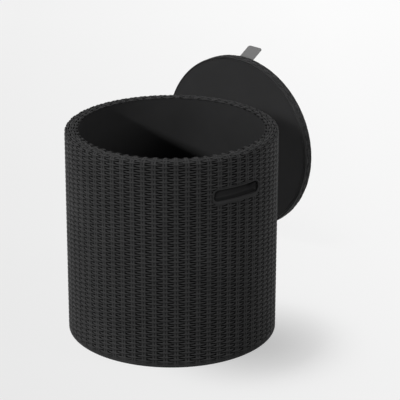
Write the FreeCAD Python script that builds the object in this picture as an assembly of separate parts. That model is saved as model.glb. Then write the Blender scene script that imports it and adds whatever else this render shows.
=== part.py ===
import FreeCAD, Part
import math
import os

from FreeCAD import Placement, Rotation, Vector

# Ice bucket coffee table: a round double-walled drum in moulded wickerwork,
# with an insulated tub inside and a loose round table top as its lid.
# Millimetres, +Z up. The origin lies on the floor, below the middle of the drum.
# The grips face +X and -X. The lid stands on its edge behind the drum.

# Drum, outside
drum_diameter = 420.0
drum_height = 423.0
ground_gap = 2.0
shell_wall = 3.0
shoulder_radius = 6.0
foot_band_height = 5.0

# Upright stakes of the moulded wickerwork
stake_count = 62
stake_width = 9.0
stake_height = 1.6
stake_root = 0.8
stake_end_angle = 50.0
stake_end_taper = 25.0
crest_relief = 0.4

# Tub, inside
mouth_diameter = 366.0
tub_depth = 383.0
tub_wall = 2.5
tub_draft = 3.0
tub_corner_radius = 25.0
rim_width = 14.0
rim_thickness = 2.5
rim_edge_radius = 1.2
rim_seat_width = 9.0
rim_skirt_height = 10.0

# Gaps between moulded pieces, and between a pin and its bore
seam = 0.3
pin_clearance = 0.05

# How near an edge lies to where it is looked for
nearness = 0.01

# Grips in the drum's wall
grip_length = 106.0
grip_height = 22.0
grip_corner_radius = 9.0
grip_below_rim = 75.0
grip_frame_width = 5.0
grip_edge_radius = 3.0
cup_wall = 2.0
cup_back_gap = 1.5
cup_overlap = 1.0
finger_rise = 12.0

# Bottom plate and feet
plate_bottom = 8.0
plate_thickness = 3.0
ledge_width = 6.0
ledge_thickness = 3.0
rib_count = 6
rib_width = 3.0
rib_height = 4.0
rib_inner_radius = 17.0
rim_rib_inset = 6.0
foot_count = 4
foot_diameter = 30.0
foot_height = 6.0
foot_circle_radius = 165.0
foot_edge_chamfer = 1.5
foot_socket_wall = 4.0
foot_socket_depth = 3.0

# Screws that pull the bottom plate and the tub together
screw_count = 6
screw_circle_radius = 130.0
screw_length = 20.0
screw_shank_radius = 1.95
screw_head_radius = 4.0
screw_head_height = 2.6
screw_head_chamfer = 1.2
boss_radius = 5.0

# Drain in the tub's floor, between two ribs of the bottom plate
drain_circle_radius = 88.0
drain_bearing = 30.0
drain_bore_radius = 9.0
drain_tube_wall = 3.5
drain_flange_radius = 24.0
drain_flange_thickness = 2.5
drain_flange_chamfer = 1.0
drain_end_height = 3.0
gasket_thickness = 1.5
sump_margin = 2.0
nut_across_flats = 36.0
nut_thickness = 4.5
plug_head_radius = 15.0
plug_head_thickness = 4.0
plug_stem_length = 22.0
plug_grip_length = 22.0
plug_grip_width = 5.0
plug_grip_height = 14.0
plug_edge_chamfer = 1.0
seal_ring_radius = 0.95
seal_groove_radius = 7.0
seal_groove_half_width = 1.05

# Lid, as it lies closed: underside at height 0
lid_diameter = 402.0
lid_thickness = 25.0
lid_wall = 3.0
lid_top_radius = 4.0
lid_edge_radius = 1.5
lid_band_height = 3.0
lid_dish_radius = 168.0
lid_dish_depth = 1.5
panel_thickness = 2.5
panel_edge_round = 0.6
panel_ring_inset = 2.5
panel_ring_wall = 2.5
panel_ring_height = 7.0

# Pull tab of the lid
tab_width = 38.0
tab_length = 41.0
tab_thickness = 2.4
tab_corner_radius = 5.0
tab_bearing = 2.1
tab_tilt = 60.0
tab_bend_inset = 7.0
tab_bend_gap = 1.0
root_length = 20.0
clamp_length = 15.0
clamp_width = 46.0
clamp_thickness = 2.0
clamp_corner_radius = 4.0
clamp_setback = 7.0
rivet_radius = 2.0
rivet_spacing = 26.0
rivet_head_radius = 4.0
rivet_head_height = 1.5
rivet_head_chamfer = 1.0

# Where the lid stands: centre of its underside, and the way its top faces
lid_stand_distance = 558.0
lid_stand_bearing = 128.0
lid_facing = 102.2

# Worked out from the sizes above
crest_radius = drum_diameter / 2
shell_radius = crest_radius - stake_height
band_radius = crest_radius - crest_relief
shell_inner_radius = shell_radius - shell_wall
mouth_radius = mouth_diameter / 2
rim_radius = mouth_radius + rim_width
rim_seat_height = drum_height - rim_thickness
rim_hole_radius = rim_radius + seam
flange_radius = rim_hole_radius - rim_seat_width
flange_underside = rim_seat_height - shell_wall
skirt_bottom = rim_seat_height - rim_skirt_height
tub_top = rim_seat_height - seam
tub_floor = drum_height - tub_depth
tub_floor_radius = mouth_radius - tub_draft
tub_underside = tub_floor - tub_wall
plate_top = plate_bottom + plate_thickness
plate_radius = shell_inner_radius - seam
ledge_top = plate_top + ledge_thickness
jacket_radius = shell_inner_radius - seam
grip_centre = drum_height - grip_below_rim
drain_tube_radius = drain_bore_radius + drain_tube_wall
sump_depth = gasket_thickness + drain_flange_thickness
sump_radius = drain_flange_radius + sump_margin
sump_underside = tub_underside - sump_depth

lid_crest_radius = lid_diameter / 2
lid_shell_radius = lid_crest_radius - stake_height
lid_band_radius = lid_crest_radius - crest_relief
lid_inner_radius = lid_shell_radius - lid_wall
lid_stake_count = 2 * round(stake_count * lid_diameter / drum_diameter / 2)
lid_ceiling = lid_thickness - lid_dish_depth - lid_wall
panel_radius = lid_inner_radius - seam
panel_ring_radius = panel_radius - panel_ring_inset
tab_axis_radius = lid_crest_radius - tab_bend_inset
tab_axis_height = lid_thickness + seam + tab_thickness / 2
root_end = tab_axis_radius - tab_thickness / 2 - tab_bend_gap
clamp_end = tab_axis_radius - clamp_setback
clamp_base = lid_thickness + tab_thickness
rivet_place = clamp_end - clamp_length / 2


def at(radius, height):
    """Point of a turned outline: distance from the axis, and height."""
    return Vector(radius, 0, height)


def outline(*steps):
    """Face inside a closed outline. A pair of points is an arc: on its way, end."""
    edges = []
    here = steps[0]
    for step in steps[1:] + (steps[0],):
        if isinstance(step, tuple):
            middle, end = step
            edges.append(Part.Arc(here, middle, end).toShape())
            here = end
        elif step.distanceToPoint(here) > 0:
            edges.append(Part.LineSegment(here, step).toShape())
            here = step
    return Part.Face(Part.Wire(edges))


def round_corner(centre_radius, centre_height, radius, start, end):
    """Arc step of an outline about a centre, from one angle to another."""
    middle = math.radians((start + end) / 2)
    last = math.radians(end)
    on_the_way = at(centre_radius + radius * math.cos(middle), centre_height + radius * math.sin(middle))
    finish = at(centre_radius + radius * math.cos(last), centre_height + radius * math.sin(last))
    return (on_the_way, finish)


def turned(face, angle=360.0):
    """Solid swept by an outline round the Z axis, centred on the X axis."""
    solid = face.revolve(Vector(0, 0, 0), Vector(0, 0, 1), angle)
    if angle < 360.0:
        solid.rotate(Vector(0, 0, 0), Vector(0, 0, 1), -angle / 2)
    return solid


def disc(radius, low, high):
    return Part.makeCylinder(radius, high - low, Vector(0, 0, low))


def ring(inner, outer, low, high):
    return disc(outer, low, high).cut(disc(inner, low, high))


def polar(radius, degrees, height=0.0):
    angle = math.radians(degrees)
    return Vector(radius * math.cos(angle), radius * math.sin(angle), height)


def round_about(solid, count, first=0.0):
    """Copies of a solid, evenly spaced round the Z axis."""
    copies = []
    for index in range(count):
        copy = solid.copy()
        copy.rotate(Vector(0, 0, 0), Vector(0, 0, 1), first + index * 360.0 / count)
        copies.append(copy)
    return copies


def moved(solid, offset):
    copy = solid.copy()
    copy.translate(offset)
    return copy


def rounded_plate(length, width, thickness, radius):
    """Flat plate from x = 0, centred in y, with its four upright corners rounded."""
    plate = Part.makeBox(length, width, thickness, Vector(0, -width / 2, 0))
    upright = [e for e in plate.Edges if abs(e.Vertexes[0].Z - e.Vertexes[1].Z) > thickness / 2]
    return plate.makeFillet(radius, upright)


def edges_at_height(solid, height, reach):
    """Edges that lie wholly at one height, within a reach of the Z axis."""
    found = []
    for edge in solid.Edges:
        box = edge.BoundBox
        flat = abs(box.ZMin - height) < nearness and abs(box.ZMax - height) < nearness
        if flat and max(box.XMax, -box.XMin) < reach:
            found.append(edge)
    return found


# Moulded wickerwork

def stake(crest, top, round_over, low):
    """One upright stake that bends over the rounded top edge and dives into it."""
    wall = crest - stake_height
    centre = (wall - round_over, top - round_over)
    root = round_over - stake_root
    dive = math.radians(stake_end_angle + stake_end_taper)
    strip = outline(
        at(crest, low),
        at(crest, centre[1]),
        round_corner(*centre, round_over + stake_height, 0, stake_end_angle),
        at(centre[0] + root * math.cos(dive), centre[1] + root * math.sin(dive)),
        round_corner(*centre, root, stake_end_angle + stake_end_taper, 0),
        at(wall - stake_root, low),
    )
    return turned(strip, math.degrees(stake_width / crest))


# Drum shell

def grip_prism(grow, near, far):
    """Rounded bar along X through a grip, larger than the grip on each side by grow."""
    length = grip_length + 2 * grow
    height = grip_height + 2 * grow
    bar = Part.makeBox(far - near, length, height, Vector(near, -length / 2, grip_centre - height / 2))
    along = [e for e in bar.Edges if abs(e.Vertexes[0].X - e.Vertexes[1].X) > (far - near) / 2]
    return bar.makeFillet(grip_corner_radius + grow, along)


def opposite(solid):
    """The same piece on the drum's other side."""
    copy = solid.copy()
    copy.rotate(Vector(0, 0, 0), Vector(0, 0, 1), 180)
    return copy


def shell_body():
    """Turned drum wall with a foot band, a shoulder, the rim ring's seat and a ledge."""
    band_top = ground_gap + foot_band_height
    return turned(outline(
        at(band_radius, ground_gap),
        at(band_radius, band_top),
        at(shell_radius, band_top + stake_height),
        at(shell_radius, drum_height - shoulder_radius),
        round_corner(shell_radius - shoulder_radius, drum_height - shoulder_radius, shoulder_radius, 0, 90),
        at(rim_hole_radius, drum_height),
        at(rim_hole_radius, rim_seat_height),
        at(flange_radius, rim_seat_height),
        at(flange_radius, flange_underside),
        at(shell_inner_radius, flange_underside),
        at(shell_inner_radius, ledge_top),
        at(shell_inner_radius - ledge_width, ledge_top),
        at(shell_inner_radius - ledge_width, plate_top),
        at(shell_inner_radius, plate_top),
        at(shell_inner_radius, ground_gap),
    ))


def grip_edge(solid):
    """Outer edges of the two grip openings, on their smooth frames."""
    found = []
    for edge in solid.Edges:
        places = [edge.valueAt(edge.FirstParameter + share * (edge.LastParameter - edge.FirstParameter))
                  for share in (0.0, 0.5, 1.0)]
        on_frame = all(abs(math.hypot(p.x, p.y) - band_radius) < nearness for p in places)
        in_grip = all(abs(p.z - grip_centre) < grip_height / 2 + nearness for p in places)
        beside = all(abs(p.y) < grip_length / 2 + nearness for p in places)
        if on_frame and in_grip and beside:
            found.append(edge)
    return found


def outer_shell():
    wall = shell_body()
    near = shell_inner_radius / 2
    far = drum_diameter
    low = drum_height / 2
    frame_bar = grip_prism(grip_frame_width, near, far)
    frame = ring(shell_radius - stake_root, band_radius, low, drum_height).common(frame_bar)
    wall = wall.fuse(frame).fuse(opposite(frame))
    opening = grip_prism(0.0, near, far)
    wall = wall.cut(opening).cut(opposite(opening))
    wall = wall.makeFillet(grip_edge_radius, grip_edge(wall))
    stakes = round_about(
        stake(crest_radius, drum_height, shoulder_radius, ground_gap + foot_band_height - stake_root),
        stake_count)
    frame_core = grip_prism(grip_frame_width - crest_relief, near, far)
    frame_cores = frame_core.fuse(opposite(frame_core))
    reach = grip_length / 2 + grip_frame_width + stake_width
    for index, one in enumerate(stakes):
        if abs(one.CenterOfMass.y) < reach:
            stakes[index] = one.cut(frame_cores)
    return wall.fuse(stakes)


def handle_cup():
    """Pocket behind a grip, taller than the opening so that fingers hook behind it."""
    back = mouth_radius + tub_wall + cup_back_gap
    half_length = grip_length / 2 + cup_overlap
    low = grip_centre - grip_height / 2 - cup_overlap
    high = grip_centre + grip_height / 2 + finger_rise
    radius = grip_corner_radius

    def block(grow):
        height = high - low + 2 * grow
        length = 2 * (half_length + grow)
        bar = Part.makeBox(crest_radius, length, height, Vector(0, -length / 2, low - grow))
        along = [e for e in bar.Edges if abs(e.Vertexes[0].X - e.Vertexes[1].X) > crest_radius / 2]
        return bar.makeFillet(radius + grow, along)

    outside = ring(back, jacket_radius, low - 2 * cup_wall, high + 2 * cup_wall)
    inside = ring(back + cup_wall, crest_radius, low - 2 * cup_wall, high + 2 * cup_wall)
    return outside.common(block(cup_wall)).cut(inside.common(block(0.0)))


# Tub

def tub_volume(grow, top):
    """Space that the tub holds, grown outwards all round, up to a given height."""
    bottom = tub_floor - grow
    slope = tub_draft / tub_depth
    cone = Part.makeCone(
        tub_floor_radius + grow, tub_floor_radius + grow + slope * (top - bottom), top - bottom,
        Vector(0, 0, bottom))
    rim = edges_at_height(cone, bottom, drum_diameter)
    return cone.makeFillet(tub_corner_radius + grow, rim)


def inner_tub():
    sump = at_drain(disc(sump_radius + tub_wall, sump_underside, tub_floor))
    boss = moved(disc(boss_radius, plate_top + seam, tub_floor - tub_wall / 2),
                 Vector(screw_circle_radius, 0, 0))
    bosses = round_about(boss, screw_count, 180.0 / screw_count)
    tub = tub_volume(tub_wall, tub_top).fuse([sump] + bosses)
    tub = tub.cut(tub_volume(0.0, drum_height))
    tub = tub.cut(at_drain(disc(sump_radius, tub_floor - sump_depth, tub_floor + tub_wall)))
    tub = tub.cut(at_drain(disc(drain_tube_radius + seam, sump_underside - tub_wall, tub_floor)))
    pilot = moved(
        disc(screw_shank_radius + pin_clearance, plate_bottom, plate_bottom + screw_length + seam),
        Vector(screw_circle_radius, 0, 0))
    for hole in round_about(pilot, screw_count, 180.0 / screw_count):
        tub = tub.cut(hole)
    return tub


def rim_ring():
    """Smooth ring that covers the tub's top edge and sits in the drum's shoulder."""
    top = ring(mouth_radius, rim_radius, rim_seat_height, drum_height)
    top = top.makeFillet(rim_edge_radius, edges_at_height(top, drum_height, drum_diameter))
    skirt = ring(mouth_radius + tub_wall + seam, flange_radius - seam, skirt_bottom,
                 rim_seat_height + rim_edge_radius / 2)
    return top.fuse(skirt)


# Insulation

def wall_foam():
    """Foam jacket between the shell and the tub, notched for the two pockets."""
    jacket = disc(jacket_radius, ledge_top + seam, flange_underside - seam)
    core = tub_volume(tub_wall + seam, drum_height)
    inner = tub_floor_radius + tub_wall + seam
    jacket = jacket.cut(core).cut(disc(inner, 0, tub_floor + tub_corner_radius))
    jacket = jacket.cut(disc(flange_radius, skirt_bottom - seam, drum_height))
    half_length = grip_length / 2 + cup_overlap + cup_wall + seam
    low = grip_centre - grip_height / 2 - cup_overlap - cup_wall - seam
    high = grip_centre + grip_height / 2 + finger_rise + cup_wall + seam
    notch = Part.makeBox(crest_radius, 2 * half_length, high - low, Vector(0, -half_length, low))
    return jacket.cut(notch).cut(opposite(notch))


def floor_foam():
    """Foam disc under the tub, with holes for the drain and the screw bosses."""
    radius = tub_floor_radius + tub_wall
    foam = disc(radius, plate_top + seam, tub_floor + tub_corner_radius)
    foam = foam.cut(tub_volume(tub_wall + seam, drum_height))
    foam = foam.cut(at_drain(disc(sump_radius + tub_wall + seam, sump_underside - seam, tub_floor)))
    foam = foam.cut(at_drain(disc(drain_tube_radius + seam, 0, tub_floor)))
    hole = moved(disc(boss_radius + seam, 0, tub_floor), Vector(screw_circle_radius, 0, 0))
    for one in round_about(hole, screw_count, 180.0 / screw_count):
        foam = foam.cut(one)
    return foam


# Bottom plate, feet and screws

def foot_places():
    """Round the drum's edge, and the last one in the middle, under the tub's load."""
    first = 180.0 / foot_count
    places = [polar(foot_circle_radius, first + index * 360.0 / foot_count) for index in range(foot_count)]
    return places + [Vector(0, 0, 0)]


def base_plate():
    plate = disc(plate_radius, plate_bottom, plate_top)
    rim_rib = ring(plate_radius - rim_rib_inset - rib_width, plate_radius - rim_rib_inset,
                   plate_bottom - rib_height, plate_bottom)
    rib_length = plate_radius - rim_rib_inset - rib_width / 2 - rib_inner_radius
    rib = Part.makeBox(rib_length, rib_width, rib_height,
                       Vector(rib_inner_radius, -rib_width / 2, plate_bottom - rib_height))
    socket_radius = foot_diameter / 2 + seam
    socket_low = foot_height - foot_socket_depth
    socket = disc(socket_radius + foot_socket_wall, socket_low, plate_bottom)
    sockets = [moved(socket, place) for place in foot_places()]
    plate = plate.fuse([rim_rib] + round_about(rib, rib_count) + sockets)
    recess = disc(socket_radius, 0, foot_height)
    for place in foot_places():
        plate = plate.cut(moved(recess, place))
    plate = plate.cut(at_drain(disc(drain_tube_radius + seam, 0, plate_top)))
    hole = moved(disc(screw_shank_radius + seam, 0, plate_top), Vector(screw_circle_radius, 0, 0))
    for one in round_about(hole, screw_count, 180.0 / screw_count):
        plate = plate.cut(one)
    return plate


def foot():
    pad = disc(foot_diameter / 2, 0, foot_height)
    return pad.makeChamfer(foot_edge_chamfer, edges_at_height(pad, 0, foot_diameter))


def screw():
    """Pan-head screw pointing up, with its head under the plate."""
    head = disc(screw_head_radius, plate_bottom - screw_head_height, plate_bottom)
    head = head.makeChamfer(
        screw_head_chamfer, edges_at_height(head, plate_bottom - screw_head_height, 2 * screw_head_radius))
    shank = disc(screw_shank_radius, plate_bottom - screw_head_height / 2, plate_bottom + screw_length)
    return head.fuse(shank)


def base_screws():
    one = moved(screw(), Vector(screw_circle_radius, 0, 0))
    return Part.Compound(round_about(one, screw_count, 180.0 / screw_count))


# Drain, each piece built on the Z axis

def at_drain(solid):
    return moved(solid, polar(drain_circle_radius, drain_bearing))


def drain_bushing():
    flange = disc(drain_flange_radius, tub_floor - drain_flange_thickness, tub_floor)
    flange = flange.makeChamfer(drain_flange_chamfer, edges_at_height(flange, tub_floor, drum_diameter))
    tube = disc(drain_tube_radius, drain_end_height, tub_floor - drain_flange_thickness / 2)
    return flange.fuse(tube).cut(disc(drain_bore_radius, 0, drum_height))


def drain_gasket():
    low = tub_floor - sump_depth
    return ring(drain_tube_radius + seam, drain_flange_radius, low, low + gasket_thickness)


def drain_nut():
    corner = nut_across_flats / math.sqrt(3)
    points = [polar(corner, 60.0 * side, plate_bottom - nut_thickness) for side in range(7)]
    hexagon = Part.Face(Part.makePolygon(points))
    nut = hexagon.extrude(Vector(0, 0, nut_thickness))
    return nut.cut(disc(drain_tube_radius + pin_clearance, 0, plate_top))


def drain_plug():
    """Stopper with a flat head, a finger grip, and a stem grooved for its ring."""
    stem_radius = drain_bore_radius - pin_clearance
    head = disc(plug_head_radius, tub_floor, tub_floor + plug_head_thickness)
    head = head.makeChamfer(
        plug_edge_chamfer, edges_at_height(head, tub_floor + plug_head_thickness, drum_diameter))
    stem = disc(stem_radius, tub_floor - plug_stem_length, tub_floor + plug_head_thickness / 2)
    stem = stem.makeChamfer(
        plug_edge_chamfer, edges_at_height(stem, tub_floor - plug_stem_length, drum_diameter))
    grip = rounded_plate(plug_grip_height, plug_grip_length, plug_grip_width, plug_grip_length / 4)
    grip.rotate(Vector(0, 0, 0), Vector(0, 1, 0), -90)
    grip.translate(Vector(plug_grip_width / 2, 0, tub_floor + plug_head_thickness / 2))
    middle = tub_floor - plug_stem_length / 2
    groove = ring(seal_groove_radius, drain_bore_radius, middle - seal_groove_half_width,
                  middle + seal_groove_half_width)
    return head.fuse([stem, grip]).cut(groove)


def plug_seal():
    radius = (seal_groove_radius + drain_bore_radius - pin_clearance) / 2
    middle = tub_floor - plug_stem_length / 2
    return Part.makeTorus(radius, seal_ring_radius, Vector(0, 0, middle), Vector(0, 0, 1))


# Lid, built as it lies closed

def lid_top():
    """Table top with a shallow dish and a skirt in the drum's wickerwork."""
    body = turned(outline(
        at(lid_band_radius - lid_edge_radius, 0),
        round_corner(lid_band_radius - lid_edge_radius, lid_edge_radius, lid_edge_radius, -90, 0),
        at(lid_band_radius, lid_band_height),
        at(lid_shell_radius, lid_band_height + stake_height),
        at(lid_shell_radius, lid_thickness - lid_top_radius),
        round_corner(lid_shell_radius - lid_top_radius, lid_thickness - lid_top_radius, lid_top_radius, 0, 90),
        at(lid_dish_radius + 2 * lid_dish_depth, lid_thickness),
        at(lid_dish_radius, lid_thickness - lid_dish_depth),
        at(0, lid_thickness - lid_dish_depth),
        at(0, lid_ceiling),
        at(lid_inner_radius, lid_ceiling),
        at(lid_inner_radius, 0),
    ))
    stakes = round_about(
        stake(lid_crest_radius, lid_thickness, lid_top_radius, lid_band_height - stake_root),
        lid_stake_count)
    top = body.fuse(stakes)
    for hole in tab_holes(rivet_radius + pin_clearance):
        top = top.cut(hole)
    return top


def lid_panel():
    """Smooth underside, with a ring that locates it inside the skirt."""
    plate = disc(panel_radius, 0, panel_thickness)
    plate = plate.makeFillet(panel_edge_round, edges_at_height(plate, 0, lid_diameter))
    locator = ring(panel_ring_radius - panel_ring_wall, panel_ring_radius,
                   panel_thickness, panel_thickness + panel_ring_height)
    return plate.fuse(locator)


def lid_foam():
    inner = panel_ring_radius - panel_ring_wall - seam
    step = panel_thickness + panel_ring_height + seam
    core = turned(outline(
        at(0, panel_thickness + seam),
        at(inner, panel_thickness + seam),
        at(inner, step),
        at(panel_radius, step),
        at(panel_radius, lid_ceiling - seam),
        at(0, lid_ceiling - seam),
    ))
    for hole in tab_holes(rivet_head_radius + seam):
        core = core.cut(hole)
    return core


# Pull tab

def tab_place(solid):
    """Turn a piece built along X to the tab's place round the lid."""
    copy = solid.copy()
    copy.rotate(Vector(0, 0, 0), Vector(0, 0, 1), tab_bearing)
    return copy


def tab_holes(radius):
    """Bars through both rivet places, from inside the lid up through the clamp."""
    low = lid_ceiling - 2 * rivet_head_height
    high = clamp_base + clamp_thickness + rivet_head_height
    bars = []
    for side in (-1, 1):
        bar = moved(disc(radius, low, high), Vector(rivet_place, side * rivet_spacing / 2, 0))
        bars.append(tab_place(bar))
    return bars


def pull_tab():
    """Flexible leaf with rounded tips, tilted up about its bend line."""
    leaf = rounded_plate(2 * tab_length, tab_width, tab_thickness, tab_corner_radius)
    leaf.translate(Vector(-tab_length, 0, -tab_thickness / 2))
    leaf = leaf.common(Part.makeBox(tab_length, tab_width, tab_thickness,
                                    Vector(0, -tab_width / 2, -tab_thickness / 2)))
    knuckle = Part.makeCylinder(tab_thickness / 2, tab_width, Vector(0, -tab_width / 2, 0), Vector(0, 1, 0))
    leaf = leaf.fuse(knuckle).removeSplitter()
    leaf.rotate(Vector(0, 0, 0), Vector(0, 1, 0), -tab_tilt)
    leaf.translate(Vector(tab_axis_radius, 0, tab_axis_height))
    return tab_place(leaf)


def tab_root():
    """The tab's flat end, which the clamp holds on the lid, round where the leaf bends."""
    round_end = root_end - tab_thickness / 2
    flat = Part.makeBox(root_length, tab_width, tab_thickness,
                        Vector(round_end - root_length, -tab_width / 2, lid_thickness))
    nose = Part.makeCylinder(tab_thickness / 2, tab_width,
                             Vector(round_end, -tab_width / 2, lid_thickness + tab_thickness / 2),
                             Vector(0, 1, 0))
    root = tab_place(flat.fuse(nose).removeSplitter())
    for hole in tab_holes(rivet_radius + pin_clearance):
        root = root.cut(hole)
    return root


def tab_clamp():
    plate = rounded_plate(clamp_length, clamp_width, clamp_thickness, clamp_corner_radius)
    plate.translate(Vector(clamp_end - clamp_length, 0, clamp_base))
    plate = tab_place(plate)
    for hole in tab_holes(rivet_radius + pin_clearance):
        plate = plate.cut(hole)
    return plate


def tab_rivets():
    """Two rivets through the clamp, the tab's root and the lid."""
    head_low = clamp_base + clamp_thickness
    head_high = head_low + rivet_head_height
    tail_low = lid_ceiling - rivet_head_height
    rivets = []
    for side in (-1, 1):
        head = disc(rivet_head_radius, head_low, head_high)
        head = head.makeChamfer(rivet_head_chamfer, edges_at_height(head, head_high, lid_diameter))
        shank = disc(rivet_radius, tail_low, head_low + rivet_head_height / 2)
        tail = disc(rivet_head_radius, tail_low, lid_ceiling)
        rivet = moved(head.fuse([shank, tail]), Vector(rivet_place, side * rivet_spacing / 2, 0))
        rivets.append(tab_place(rivet))
    return Part.Compound(rivets)


def stood_up(solid):
    """The lid's place: on its edge on the floor, underside towards the drum."""
    facing = math.radians(lid_facing)
    out_of_top = Vector(math.cos(facing), math.sin(facing), 0)
    up = Vector(0, 0, 1)
    across = out_of_top.cross(up)
    turn = Rotation(up, across, out_of_top, "ZXY")
    copy = solid.copy()
    place = Placement(polar(lid_stand_distance, lid_stand_bearing, lid_crest_radius), turn)
    copy.Placement = place.multiply(copy.Placement)
    return copy


def save(name, shape):
    shape.exportStep("parts/" + name + ".step")


def main():
    os.makedirs("parts", exist_ok=True)
    save("outer_shell", outer_shell())
    save("inner_tub", inner_tub())
    save("rim_ring", rim_ring())
    cup = handle_cup()
    save("handle_cup_right", cup)
    save("handle_cup_left", opposite(cup))
    save("wall_foam", wall_foam())
    save("floor_foam", floor_foam())
    save("base_plate", base_plate())
    save("base_screws", base_screws())
    for index, place in enumerate(foot_places()):
        save("foot_" + str(index + 1), moved(foot(), place))
    save("drain_bushing", at_drain(drain_bushing()))
    save("drain_gasket", at_drain(drain_gasket()))
    save("drain_nut", at_drain(drain_nut()))
    save("drain_plug", at_drain(drain_plug()))
    save("plug_seal", at_drain(plug_seal()))
    save("lid_top", stood_up(lid_top()))
    save("lid_panel", stood_up(lid_panel()))
    save("lid_foam", stood_up(lid_foam()))
    save("tab_root", stood_up(tab_root()))
    save("tab_clamp", stood_up(tab_clamp()))
    save("tab_rivets", stood_up(tab_rivets()))
    save("pull_tab", stood_up(pull_tab()))


main()
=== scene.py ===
import math

import bmesh
import bpy
import numpy as np
from mathutils import Matrix, Vector


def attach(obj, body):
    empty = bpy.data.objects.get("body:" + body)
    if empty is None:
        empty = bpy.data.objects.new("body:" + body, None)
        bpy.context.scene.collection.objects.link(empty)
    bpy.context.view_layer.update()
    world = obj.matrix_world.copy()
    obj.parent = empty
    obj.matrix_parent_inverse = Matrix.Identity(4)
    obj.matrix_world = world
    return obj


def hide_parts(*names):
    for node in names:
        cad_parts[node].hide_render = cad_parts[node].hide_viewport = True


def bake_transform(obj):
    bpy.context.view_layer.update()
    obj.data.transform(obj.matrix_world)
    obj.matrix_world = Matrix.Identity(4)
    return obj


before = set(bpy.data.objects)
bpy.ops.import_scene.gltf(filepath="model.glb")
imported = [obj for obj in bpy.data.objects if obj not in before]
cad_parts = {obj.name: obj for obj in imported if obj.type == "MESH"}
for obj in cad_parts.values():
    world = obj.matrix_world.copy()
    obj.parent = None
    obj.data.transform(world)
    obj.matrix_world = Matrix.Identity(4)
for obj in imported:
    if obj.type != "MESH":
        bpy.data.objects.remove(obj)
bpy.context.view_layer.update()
bpy.context.scene.view_settings.view_transform = "Standard"

# Ice bucket coffee table. Metres, +Z up, origin on the floor below the drum's middle.
# Lengths of the drum, the weave, the grips, the lid and the tab are millimetres here, and
# become metres where a mesh is made. All other lengths are metres. Angles are degrees.

MM = 0.001

# Camera, as fitted to the photograph
PHOTO_SIDE = 52.95
ELEVATION = 21.938
DISTANCE = 3.5961
YAW = 0.8966
PITCH = 1.0015
ROLL = -0.177
AIM_HEIGHT = 0.2
CAMERA_RAISED = 0.001
SENSOR = 36.0
LENS = 161.79
VIEW_REACH = 50.0

# Drum
CREST_RADIUS = 210.0
SHOULDER_START = 417.0
DRUM_TOP = 423.0
SHOULDER_ACROSS = 7.6
SHOULDER_UP = 6.0
MOUTH_RADIUS = 183.0
MOUTH_ROLL = 1.5
RING_RADIUS = 197.0
RING_SEAM = 0.06
RING_LOW = DRUM_TOP - 2.5
RING_RIB_LOW = RING_LOW - 10.0
RING_RIB_INSIDE = MOUTH_RADIUS + 2.8
RING_RIB_OUTSIDE = 188.0
LEDGE_RADIUS = 188.3
LEDGE_LOW = DRUM_TOP - 5.5
WALL_INSIDE = 205.4
WALL_SEAM = 16.0
PATH_BELOW = 50.0
COLUMNS = 62

# Weave. Each cell spans from the middle of one pair of ribs to the middle of the next.
STEP = 9.735
HALF_STEP = STEP / 2
ACROSS = np.array([0.0, 1.2, 2.6, 4.6, 6.0, 9.0, 12.3, 15.3, 16.7, 18.7, 20.1])
CELL = 21.3
PAIR_EDGE = 4.5
GAP_DROP = 3.6
EDGE_DROP = 0.2
GAP_FLANK = 0.25
# Painted shade, 0 to 1: in the weave's gaps, on the ribs' flanks and groove, where strands dip;
# plain rows take PLAIN_SHADE
STRAND_SHADE = 0.04
PLAIN_SHADE = 0.3
RIB_SHADE_START = 0.8
RIB_SHADE_SPAN = 1.25
DRUM_FIRST_STRAND = 13.17
DRUM_STRANDS = 89
LID_FIRST_STRAND = 6.1
LID_STRANDS = 5

# Weave at the drum's foot, over its shoulder and at its mouth. The mouth's waves start and
# are full at two distances from its edge.
FOOT_RIBS = 2.4
FOOT_BORDER = 0.9
SHOULDER_KNOBS = 0.9
MOUTH_BAND = (9.0, 4.0)
MOUTH_DEPTH = 2.3
# Painted shade in the dips of the mouth's edge, per millimetre of dip
MOUTH_SHADE = 0.22
WEAVE_STOP = 3.0

# Turns of the shoulder and of the mouth's rolled edge, and the point between them where
# a path's flat top ends
SHOULDER_TURNS = np.arange(7.5, 90.1, 7.5)
ROLL_TURNS = np.arange(112.5, 180.1, 22.5)
TOP_END = 2 + len(SHOULDER_TURNS)

# Grips
GRIP_HEIGHT = 348.0
GRIP_HALF_LENGTH = 53.0
GRIP_HALF_HEIGHT = 11.0
GRIP_CORNER = 9.0
GRIP_FRAME = 3.6
GRIP_LIP = 0.9
GRIP_CUT = 1.6
FRAME_ROUND = 2.6
FRAME_ROUND_FROM = 206.9
FRAME_FACE = 209.5
FRAME_BACK = 205.3
SCOOP_HALF_LENGTH = 55.0
SCOOP_LOW = 336.0
SCOOP_HIGH = 371.0
SCOOP_BACK = 190.5
SCOOP_RIM = 205.2
SCOOP_END = 20.0
SCOOP_EASE = 1.6
SCOOP_ROUND_ENDS = 19.5
SCOOP_ROUND_LOW = 3.2
SCOOP_ROUND_HIGH = 5.0
SCOOP_WALL = 1.8

# The weave round a grip is sunk below its frame, down to this radius
FRAMED_BEYOND = GRIP_FRAME + 0.3
FRAMED_ABOVE = 300.0
WEAVE_OUTSIDE = 206.0
WEAVE_SUNK = 207.4

# Mesh of the wall: height between its seam and its cuts, and the weld's reach, in metres
CUT_ABOVE = 0.3
WELD = 1e-6

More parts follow.
